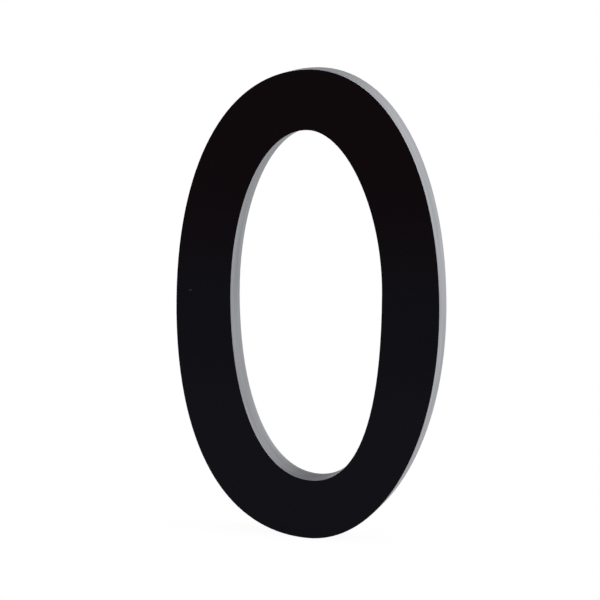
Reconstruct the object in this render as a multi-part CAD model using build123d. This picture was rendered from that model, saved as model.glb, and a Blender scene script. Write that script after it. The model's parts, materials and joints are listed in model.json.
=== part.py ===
from build123d import *
import os
from math import radians, tan

# House number "0" cut from aluminium plate, upright as it is fixed to a wall.
# X runs to the right and Z up. The back lies on the plane Y = 0 and the front faces -Y.
# The origin is on the back, midway between the two fixing holes.

# Plate
height = 200.0
width = 116.0
thickness = 12.0
edge_break = 0.3

# Stroke, from the outer outline to the counter
side_stroke = 24.7
top_stroke = 25.1
bottom_stroke = 25.7

# Where the outer outline reaches its extremes, as distances from the digit's centre lines
outer_top_shift = 3.0
outer_right_shift = 0.0
outer_bottom_shift = 1.0
outer_left_shift = -5.0

# How far each quarter of the outer outline is drawn into its corner, from 0, straight, to 1, square
outer_top_right_fullness = 0.59
outer_bottom_right_fullness = 0.56
outer_bottom_left_fullness = 0.63
outer_top_left_fullness = 0.61

# The same for the counter, which is fullest at its bottom right, where the stroke thins
counter_top_shift = 1.0
counter_right_shift = 8.0
counter_bottom_shift = 2.5
counter_left_shift = 2.0
counter_top_right_fullness = 0.52
counter_bottom_right_fullness = 0.66
counter_bottom_left_fullness = 0.61
counter_top_left_fullness = 0.56

# Blind tapped holes in the back for the fixing studs, open to the thread's outer diameter
thread_diameter = 5.0
drill_point_angle = 118.0
mouth_chamfer = 0.4
front_skin = 2.5


def quarter(start, corner, end, fullness):
    """A quarter of an outline, from one extreme to the next, drawn towards the corner between them."""
    first_handle = start + (corner - start) * fullness
    second_handle = end + (corner - end) * fullness
    return Bezier(start, first_handle, second_handle, end)


def oval(reaches, shifts, fullnesses):
    """A face inside four quarters, clockwise from the top, that share their tangents where they meet."""
    top, right, bottom, left = reaches
    top_shift, right_shift, bottom_shift, left_shift = shifts
    extremes = [
        Vector(top_shift, top),
        Vector(right, right_shift),
        Vector(bottom_shift, -bottom),
        Vector(-left, left_shift),
    ]
    corners = [
        Vector(right, top),
        Vector(right, -bottom),
        Vector(-left, -bottom),
        Vector(-left, top),
    ]
    next_extremes = extremes[1:] + extremes[:1]
    steps = zip(extremes, corners, next_extremes, fullnesses)
    return Face(Wire([quarter(*step) for step in steps]))


def through_plate(reaches, shifts, fullnesses, flare):
    """An oval carried from the back to the front, wider by the flare at both faces to break its edges."""
    levels = [(0, flare), (edge_break, 0), (thickness - edge_break, 0), (thickness, flare)]
    sections = []
    for depth, growth in levels:
        section = oval([reach + growth for reach in reaches], shifts, fullnesses)
        sections.append(Plane.XZ.offset(depth) * section)
    return loft(sections, ruled=True)


def outer_form():
    reaches = (height / 2, width / 2, height / 2, width / 2)
    shifts = (outer_top_shift, outer_right_shift, outer_bottom_shift, outer_left_shift)
    fullnesses = (
        outer_top_right_fullness,
        outer_bottom_right_fullness,
        outer_bottom_left_fullness,
        outer_top_left_fullness,
    )
    return through_plate(reaches, shifts, fullnesses, -edge_break)


def counter_space():
    half_width = width / 2 - side_stroke
    reaches = (height / 2 - top_stroke, half_width, height / 2 - bottom_stroke, half_width)
    shifts = (counter_top_shift, counter_right_shift, counter_bottom_shift, counter_left_shift)
    fullnesses = (
        counter_top_right_fullness,
        counter_bottom_right_fullness,
        counter_bottom_left_fullness,
        counter_top_left_fullness,
    )
    return through_plate(reaches, shifts, fullnesses, edge_break)


def fixing_hole(z):
    """The space of one blind hole: its chamfered mouth, bore and drill point, going in from the back."""
    radius = thread_diameter / 2
    tip_depth = thickness - front_skin
    bore_depth = tip_depth - radius / tan(radians(drill_point_angle / 2))
    half_section = Polyline(
        (0, 0),
        (radius + mouth_chamfer, 0),
        (radius, mouth_chamfer),
        (radius, bore_depth),
        (0, tip_depth),
        close=True,
    )
    into_plate = Plane(origin=(0, 0, z), x_dir=(1, 0, 0), z_dir=(0, 0, -1))
    return revolve(into_plate * make_face(half_section), Axis((0, 0, z), (0, 1, 0)))


# Both holes lie as near the middle of the stroke as one distance from the origin allows
hole_offset = height / 2 - (top_stroke + bottom_stroke) / 4
number_zero = outer_form() - [counter_space(), fixing_hole(hole_offset), fixing_hole(-hole_offset)]

os.makedirs("parts", exist_ok=True)
export_step(number_zero, "parts/number_zero.step")
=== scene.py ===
import json
from math import cos, radians, sin

import bmesh
import bpy
from mathutils import Matrix, Vector


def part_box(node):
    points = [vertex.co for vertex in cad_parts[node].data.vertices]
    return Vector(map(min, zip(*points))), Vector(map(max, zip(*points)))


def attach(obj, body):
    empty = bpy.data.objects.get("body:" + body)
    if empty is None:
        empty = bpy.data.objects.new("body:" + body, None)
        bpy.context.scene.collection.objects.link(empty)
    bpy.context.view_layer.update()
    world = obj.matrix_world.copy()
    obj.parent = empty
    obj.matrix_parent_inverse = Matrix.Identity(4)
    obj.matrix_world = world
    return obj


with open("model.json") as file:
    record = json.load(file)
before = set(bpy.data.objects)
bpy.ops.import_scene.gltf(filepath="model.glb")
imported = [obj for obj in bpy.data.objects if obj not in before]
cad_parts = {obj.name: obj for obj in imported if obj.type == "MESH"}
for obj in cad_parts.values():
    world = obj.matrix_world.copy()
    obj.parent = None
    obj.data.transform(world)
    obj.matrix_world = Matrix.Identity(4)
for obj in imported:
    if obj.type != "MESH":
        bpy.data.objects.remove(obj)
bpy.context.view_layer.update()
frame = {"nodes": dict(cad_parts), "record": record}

# House number "0" in aluminium plate, in metres: X right, Z up, black front at the lowest Y, back on Y = 0.
# Colours are red, green, blue and alpha. A size of three parts runs along X, Y and Z.
MM = 0.001
plate_low, plate_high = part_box("number_zero")
front_y = plate_low.y
back_y = plate_high.y
foot = Vector((0, (front_y + back_y) / 2, plate_low.z))

# Modelling: what counts as meeting, and the angle from which an edge stays crisp
cut_slack = 0.001 * MM
crisp_angle = radians(25)

# Bare aluminium: cutter lines round the walls, rolling lines up the back
broad_line_size = (40 * MM, 2.5 * MM, 40 * MM)
fine_line_size = (20 * MM, 0.25 * MM, 20 * MM)
fine_line_share = 0.65
rolling_line_size = (0.25 * MM, 20 * MM, 90 * MM)
rolling_line_range = (0.2, 0.8)
line_height = 0.006 * MM
back_skin = 0.02 * MM
bare_dark = (0.275, 0.280, 0.298, 1)
bare_pale = (0.484, 0.492, 0.518, 1)
bare_edge_tint = (0.85, 0.85, 0.85, 1)
bare_roughness = (0.58, 0.66)

# Black coat: a layer on the front that wraps over most of the edge break, with a fine speckle
coat_thickness = 0.06 * MM
coat_wrap = 0.22 * MM
coat_roughness = (0.52, 0.64)
coat_gloss = 0.017
speckle_size = (0.5 * MM, 0.5 * MM, 0.5 * MM)
speckle_height = 0.010 * MM
speckle_share = 0.3
speckle_black = (0.0048, 0.0040, 0.0050, 1)

# The coat's blacks with a painted reflection in them, warm at the top, then bluer, then paler, and the
# heights between which they change
top_black_painted_reflection = (0.0032, 0.0012, 0.0019, 1)
middle_black_painted_reflection = (0.0038, 0.0038, 0.0055, 1)
low_black_painted_reflection = (0.0051, 0.0047, 0.0071, 1)
reflection_top_to_middle = (60 * MM, -10 * MM)
reflection_middle_to_low = (-10 * MM, -50 * MM)

# Small pale scuff at the left of the coat, fading out from the core's share of its squared radius
scuff_x = -51.3 * MM
scuff_z = 4.95 * MM
scuff_length = 2.0 * MM
scuff_height = 0.6 * MM
scuff_core = 0.2
scuff_grey = (0.026, 0.026, 0.028, 1)

# Threads of the two fixing holes
fixing_holes = next(mount for mount in frame["record"]["mounts"] if mount["name"] == "fixing_holes")
bore_radius = fixing_holes["dims"]["hole_r_mm"] * MM
hole_offset = fixing_holes["dims"]["spacing_y_mm"] / 2 * MM
thread_pitch = 0.8 * MM
thread_depth = 0.43 * MM
thread_seat = 0.1 * MM
ridge_root = 0.7 * MM
ridge_crest = 0.2 * MM
start_below_back = 0.4 * MM
end_below_back = 7.4 * MM
steps_in_turn = 48
tool_mark_size = (2 * MM, 0.06 * MM, 2 * MM)
tapped_dark = (0.38, 0.385, 0.395, 1)
tapped_pale = (0.50, 0.505, 0.515, 1)
tapped_roughness = (0.28, 0.43)

# Studio: the floor glows white where it is seen, and a little less near the foot, where its shadow stays
white = (1, 1, 1, 1)
world_light = 0.7
floor_size = 40.0
floor_paper = (0.95, 0.95, 0.95, 1)
floor_glow = (0.94, 1.0)
shadow_fade = (5 * MM, 90 * MM)
card_felt = (0.02, 0.02, 0.02, 1)

# Camera: its place seen from the front's middle, and how far that middle lies right of and above the
# picture's own
view_azimuth = radians(18.2)
view_elevation = radians(10.77)
view_distance = 915.4 * MM
view_aim = Vector((0, front_y, 0))
aim_to_right = 2.15 * MM
aim_to_top = -3.53 * MM
lens_length = 131.1
sensor_width = 36.0


class Field:
    """A value that changes over a surface: a socket of a node tree, with arithmetic that adds Math nodes."""

    def __init__(self, tree, socket=None):
        self.tree = tree
        self.socket = socket

    def node(self, kind, settings=None, inputs=None, output=0):
        """Adds a node, sets it up and fills its sockets with plain values or other fields."""
        made = self.tree.nodes.new("ShaderNode" + kind)
        for name, value in (settings or {}).items():
            setattr(made, name, value)
        for name, value in (inputs or {}).items():
            if isinstance(value, Field):
                self.tree.links.new(value.socket, made.inputs[name])
            else:
                made.inputs[name].default_value = value
        return Field(self.tree, made.outputs[output] if made.outputs else None)

    def math(self, operation, first, second):
        return self.node("Math", {"operation": operation}, {0: first, 1: second})

    def __add__(self, other):
        return self.math("ADD", self, other)

    def __radd__(self, other):
        return self.math("ADD", other, self)

    def __sub__(self, other):
        return self.math("SUBTRACT", self, other)

    def __rsub__(self, other):
        return self.math("SUBTRACT", other, self)

    def __mul__(self, other):
        return self.math("MULTIPLY", self, other)

    def __rmul__(self, other):
        return self.math("MULTIPLY", other, self)

    def __gt__(self, other):
        return self.math("GREATER_THAN", self, other)

    def __lt__(self, other):
        return self.math("LESS_THAN", self, other)


def new_tree(owner):
    """An empty node tree on a material or the world, ready for fields."""
    owner.use_nodes = True
    owner.node_tree.nodes.clear()
    return Field(owner.node_tree)


def object_place(tree):
    """The place on the object, as a vector and as its three parts in metres."""
    place = tree.node("TexCoord", output="Object")
    parts = [tree.node("SeparateXYZ", inputs={0: place}, output=axis) for axis in "XYZ"]
    return place, *parts


def ramp(value, start, end):
    """0 up to the start, 1 past the end, and smooth between. The end may be the lower of the two."""
    inputs = {"Value": value, "From Min": start, "From Max": end}
    return value.node("MapRange", {"interpolation_type": "SMOOTHSTEP"}, inputs)


def spread(share, low, high):
    """The low value where the share is 0, the high one where it is 1."""
    return low + (high - low) * share


def grain(tree, place, size, detail):
    """Noise spread over 0 to 1, with grain of this size."""
    scaled = tree.node("Mapping", inputs={"Vector": place, "Scale": [1 / part for part in size]})
    noise = tree.node("TexNoise", inputs={"Vector": scaled, "Scale": 1.0, "Detail": detail}, output="Fac")
    return ramp(noise, start=0.25, end=0.75)


def blend(tree, share, first, second):
    """The first colour where the share is 0, the second where it is 1."""
    # A Mix node's colours are its sockets 6 and 7 and its output 2
    inputs = {"Factor": share, 6: first, 7: second}
    return tree.node("Mix", {"data_type": "RGBA"}, inputs, output=2)


def bump(tree, height):
    """The surface's direction where it rises by a height in metres."""
    return tree.node("Bump", inputs={"Strength": 1.0, "Distance": 1.0, "Height": height})


def show_surface(tree, inputs):
    """Ends a material's tree in one shader with these inputs."""
    shader = tree.node("BsdfPrincipled", inputs=inputs)
    tree.node("OutputMaterial", inputs={"Surface": shader})


def plate_material():
    """Bare satin aluminium, with cutter lines round the walls and rolling lines up the back."""
    material = bpy.data.materials.new("satin_aluminium")
    tree = new_tree(material)
    place, _, y, _ = object_place(tree)
    back = y > back_y - back_skin
    broad_lines = grain(tree, place, broad_line_size, detail=2.0)
    fine_lines = grain(tree, place, fine_line_size, detail=3.0)
    cutter_lines = (1 - fine_line_share) * broad_lines + fine_line_share * fine_lines
    rolling_lines = spread(grain(tree, place, rolling_line_size, detail=3.0), *rolling_line_range)
    lines = cutter_lines * (1 - back) + rolling_lines * back
    inputs = {
        "Base Color": blend(tree, lines, bare_dark, bare_pale),
        "Metallic": 1.0,
        "Roughness": spread(lines, *bare_roughness),
        "Specular Tint": bare_edge_tint,
        "Normal": bump(tree, line_height * lines),
    }
    show_surface(tree, inputs)
    return material


def coat_material():
    """Matt black with a painted reflection that changes it a little from top to bottom, with a fine speckle
    and one small scuff.
    """
    material = bpy.data.materials.new("matt_black_coat")
    tree = new_tree(material)
    place, x, _, z = object_place(tree)
    speckle = grain(tree, place, speckle_size, detail=2.0)
    # Painted reflection: the black turns from warm at the top to bluer and paler towards the bottom
    black = blend(tree, ramp(z, *reflection_top_to_middle), top_black_painted_reflection, middle_black_painted_reflection)
    black = blend(tree, ramp(z, *reflection_middle_to_low), black, low_black_painted_reflection)
    black = blend(tree, speckle_share * speckle, black, speckle_black)
    across = (x - scuff_x) * (2 / scuff_length)
    upwards = (z - scuff_z) * (2 / scuff_height)
    scuff = ramp(across * across + upwards * upwards, start=1.0, end=scuff_core)
    inputs = {
        "Base Color": blend(tree, scuff, black, scuff_grey),
        "Roughness": spread(speckle, *coat_roughness),
        "Specular IOR Level": coat_gloss,
        "Normal": bump(tree, speckle_height * speckle),
    }
    show_surface(tree, inputs)
    return material


def thread_material():
    """Bright freshly cut aluminium with fine tool marks round the bore."""
    material = bpy.data.materials.new("tapped_aluminium")
    tree = new_tree(material)
    place, *_ = object_place(tree)
    marks = grain(tree, place, tool_mark_size, detail=2.0)
    inputs = {
        "Base Color": blend(tree, marks, tapped_dark, tapped_pale),
        "Metallic": 1.0,
        "Roughness": spread(marks, *tapped_roughness),
    }
    show_surface(tree, inputs)
    return material


def select_where(piece, test):
    """In edit mode, selects the vertices whose place passes a test and nothing else."""
    bpy.ops.mesh.select_all(action="DESELECT")
    mesh = bmesh.from_edit_mesh(piece.data)
    for vertex in mesh.verts:
        vertex.select_set(test(vertex.co))
    mesh.select_flush(True)
    bmesh.update_edit_mesh(piece.data)


def cut_off(y, side):
    """In edit mode, cuts the mesh at a Y and removes what lies beyond it, towards +Y for 1 and -Y for -1."""
    bpy.ops.mesh.select_all(action="SELECT")
    bpy.ops.mesh.bisect(plane_co=(0, y, 0), plane_no=(0, side, 0), clear_outer=True, threshold=cut_slack)


def fit_to_plate(piece, material):
    """Ends a piece: crisp edges, its material, and a ride on the plate."""
    bpy.ops.object.shade_smooth_by_angle(angle=crisp_angle)
    piece.data.materials.clear()
    piece.data.materials.append(material)
    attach(piece, "root")


def front_coat(digit, material):
    """The coat: a copy of the plate's front and of most of its front edge break, thickened outwards."""
    bpy.ops.object.select_all(action="DESELECT")
    coat = bpy.data.objects.new("black_coat", digit.data.copy())
    bpy.context.scene.collection.objects.link(coat)
    coat.select_set(True)
    bpy.context.view_layer.objects.active = coat

    bpy.ops.object.mode_set(mode="EDIT")
    bpy.ops.mesh.select_all(action="SELECT")
    bpy.ops.mesh.remove_doubles(threshold=cut_slack)
    cut_off(front_y + coat_wrap, side=1)
    bpy.ops.object.mode_set(mode="OBJECT")

    layer = coat.modifiers.new("layer", "SOLIDIFY")
    layer.thickness = coat_thickness
    layer.offset = 1
    layer.use_even_offset = True
    bpy.ops.object.modifier_apply(modifier=layer.name)
    fit_to_plate(coat, material)


def tapped_thread(name, height, material):
    """The ridge of a thread inside one hole: its section wound down the bore and cut off at both ends."""
    section_depth = thread_depth + thread_seat
    section_x = bore_radius - thread_depth + section_depth / 2
    section_y = thread_pitch
    bpy.ops.object.select_all(action="DESELECT")
    bpy.ops.mesh.primitive_plane_add(size=1, location=(0, 0, height))
    ridge = bpy.context.object
    ridge.name = name

    # The section, narrow at the crest and seated in the wall of the bore
    section_centre = (section_x, section_y, height)
    bpy.ops.object.mode_set(mode="EDIT")
    bpy.ops.transform.resize(value=(section_depth, ridge_root, 1), center_override=(0, 0, height))
    bpy.ops.transform.translate(value=(section_x, section_y, 0))
    select_where(ridge, lambda place: place.x < section_x)
    bpy.ops.transform.resize(value=(1, ridge_crest / ridge_root, 1), center_override=section_centre)
    bpy.ops.mesh.select_all(action="SELECT")
    bpy.ops.mesh.delete(type="ONLY_FACE")
    bpy.ops.object.mode_set(mode="OBJECT")

    # Its turns, from outside the mouth to below the last turn
    winding = ridge.modifiers.new("winding", "SCREW")
    winding.axis = "Y"
    winding.screw_offset = -thread_pitch
    winding.iterations = round((section_y + end_below_back) / thread_pitch) + 1
    winding.steps = steps_in_turn
    winding.render_steps = steps_in_turn
    bpy.ops.object.modifier_apply(modifier=winding.name)

    # Its two ends, cut level and closed
    bpy.ops.object.mode_set(mode="EDIT")
    for end_y, side in ((-start_below_back, 1), (-end_below_back, -1)):
        cut_off(end_y, side)
        select_where(ridge, lambda place: abs(place.y - end_y) < cut_slack)
        bpy.ops.mesh.fill()
    bpy.ops.mesh.select_all(action="SELECT")
    bpy.ops.mesh.normals_make_consistent(inside=False)
    bpy.ops.object.mode_set(mode="OBJECT")
    bpy.ops.object.transform_apply(location=True, rotation=True, scale=True)
    fit_to_plate(ridge, material)


def seen_rays(tree):
    """1 for the rays that show a background: those from the camera, mirrored or let through."""
    names = ("Is Camera Ray", "Is Glossy Ray", "Is Transmission Ray")
    camera, glossy, through = (tree.node("LightPath", output=name) for name in names)
    return tree.math("MAXIMUM", tree.math("MAXIMUM", camera, glossy), through)


def add_world():
    """White where it is seen, soft grey light on everything else."""
    world = bpy.data.worlds.new("white_studio")
    bpy.context.scene.world = world
    tree = new_tree(world)
    backdrop = tree.node("Background", inputs={"Color": white, "Strength": 1.0})
    light = tree.node("Background", inputs={"Color": white, "Strength": world_light})
    shown = tree.node("MixShader", inputs={0: seen_rays(tree), 1: light, 2: backdrop})
    tree.node("OutputWorld", inputs={"Surface": shown})


def add_floor():
    """A white floor that keeps the soft shadow at the foot of the object."""
    bpy.ops.object.select_all(action="DESELECT")
    bpy.ops.mesh.primitive_plane_add(size=floor_size, location=foot)
    floor = bpy.context.object
    floor.name = "floor"
    material = bpy.data.materials.new("white_floor")
    tree = new_tree(material)
    place, *_ = object_place(tree)
    distance = tree.node("VectorMath", {"operation": "LENGTH"}, {0: place}, output="Value")
    glow_share = spread(ramp(distance, *shadow_fade), *floor_glow)
    paper = tree.node("BsdfDiffuse", inputs={"Color": floor_paper})
    glow = tree.node("Emission", inputs={"Color": white, "Strength": 1.0})
    lit = tree.node("MixShader", inputs={0: glow_share * seen_rays(tree), 1: paper, 2: glow})
    tree.node("OutputMaterial", inputs={"Surface": lit})
    floor.data.materials.append(material)


def add_dark_card(place, width, height):
    """A dark studio card behind the object, not seen itself, mirrored in the walls that face up."""
    bpy.ops.object.select_all(action="DESELECT")
    bpy.ops.mesh.primitive_plane_add(size=1, location=place)
    card = bpy.context.object
    card.name = "dark_card"
    card.scale = (width, height, 1)
    card.rotation_euler = (-Vector(place)).to_track_quat("Z", "Y").to_euler()
    card.visible_camera = False
    material = bpy.data.materials.new("dark_felt")
    tree = new_tree(material)
    felt = tree.node("BsdfDiffuse", inputs={"Color": card_felt})
    tree.node("OutputMaterial", inputs={"Surface": felt})
    card.data.materials.append(material)


def add_lamp(name, place, width, height, power):
    """A soft box at a place, turned to the middle of the object."""
    lamp = bpy.data.lights.new(name, "AREA")
    lamp.shape = "RECTANGLE"
    lamp.size = width
    lamp.size_y = height
    lamp.energy = power
    holder = bpy.data.objects.new(name, lamp)
    holder.location = place
    holder.rotation_euler = (-Vector(place)).to_track_quat("-Z", "Y").to_euler()
    bpy.context.scene.collection.objects.link(holder)


def add_camera():
    """The camera where the photograph was taken from."""
    level = cos(view_elevation)
    back = Vector((sin(view_azimuth) * level, -cos(view_azimuth) * level, sin(view_elevation)))
    right = Vector((cos(view_azimuth), sin(view_azimuth), 0))
    up = back.cross(right)
    lens = bpy.data.cameras.new("camera")
    lens.lens = lens_length
    lens.sensor_width = sensor_width
    camera = bpy.data.objects.new("camera", lens)
    spot = view_aim + view_distance * back - aim_to_right * right - aim_to_top * up
    camera.matrix_world = Matrix.Translation(spot) @ Matrix((right, up, back)).transposed().to_4x4()
    bpy.context.scene.collection.objects.link(camera)
    bpy.context.scene.camera = camera


digit = frame["nodes"]["number_zero"]
digit.material_slots[0].material = plate_material()
front_coat(digit, coat_material())
tapped = thread_material()
tapped_thread("thread_top", hole_offset, tapped)
tapped_thread("thread_bottom", -hole_offset, tapped)

add_world()
add_floor()
add_dark_card(place=(-0.40, 0.80, 0.72), width=1.5, height=1.3)
add_lamp("strip_lamp", place=(1.2, 0, 0.8), width=0.25, height=1.6, power=12)
add_lamp("top_lamp", place=(0.3, 0, 1.3), width=0.06, height=0.8, power=5)
add_lamp("fill_lamp", place=(-0.9, -1.1, 0.8), width=1.2, height=1.2, power=6)
add_camera()
bpy.context.scene.view_settings.view_transform = "Standard"
